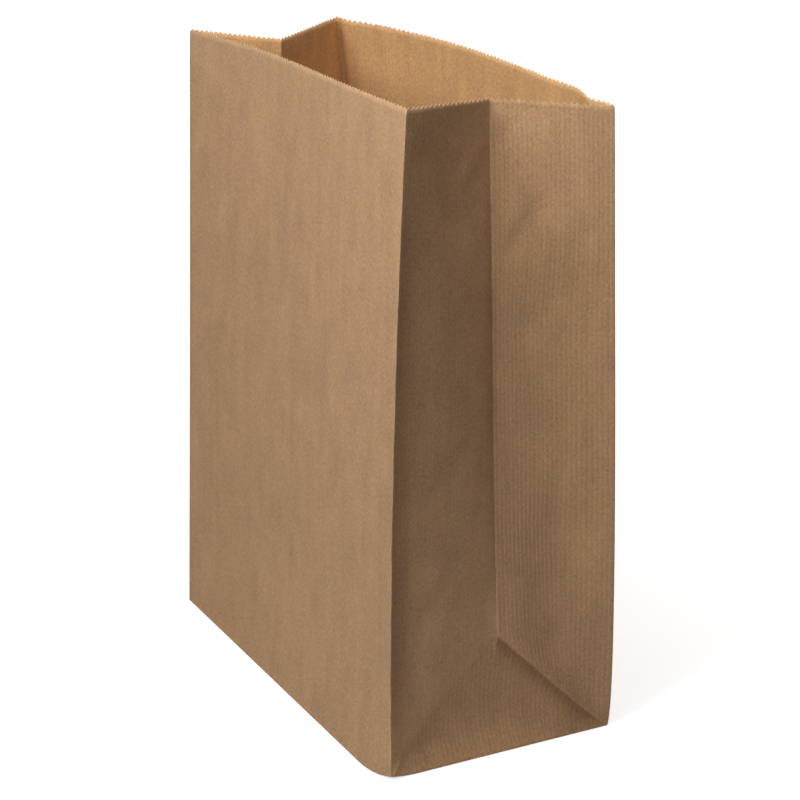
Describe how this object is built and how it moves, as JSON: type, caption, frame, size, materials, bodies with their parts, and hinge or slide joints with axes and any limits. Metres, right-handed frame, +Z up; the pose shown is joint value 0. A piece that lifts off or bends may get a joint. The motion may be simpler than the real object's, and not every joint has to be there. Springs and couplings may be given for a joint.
{
  "type": "paper lunch bag",
  "caption": "Standing open brown kraft paper lunch bag with gusseted sides, pinked mouth and flat folded block bottom.",
  "frame": {"origin": "on the floor, at the middle of the base, on the lowest base flap's underside", "axes": "+Z up towards the mouth, +X along the wide panels, the front panel faces -Y, the gusseted sides face -X and +X"},
  "size_m": [0.219, 0.1119, 0.2818],
  "materials": {
    "kraft_paper": "ribbed unbleached kraft, matt"
  },
  "bodies": {
    "root": {"paper_bag": "kraft_paper"}
  },
  "joints": []
}
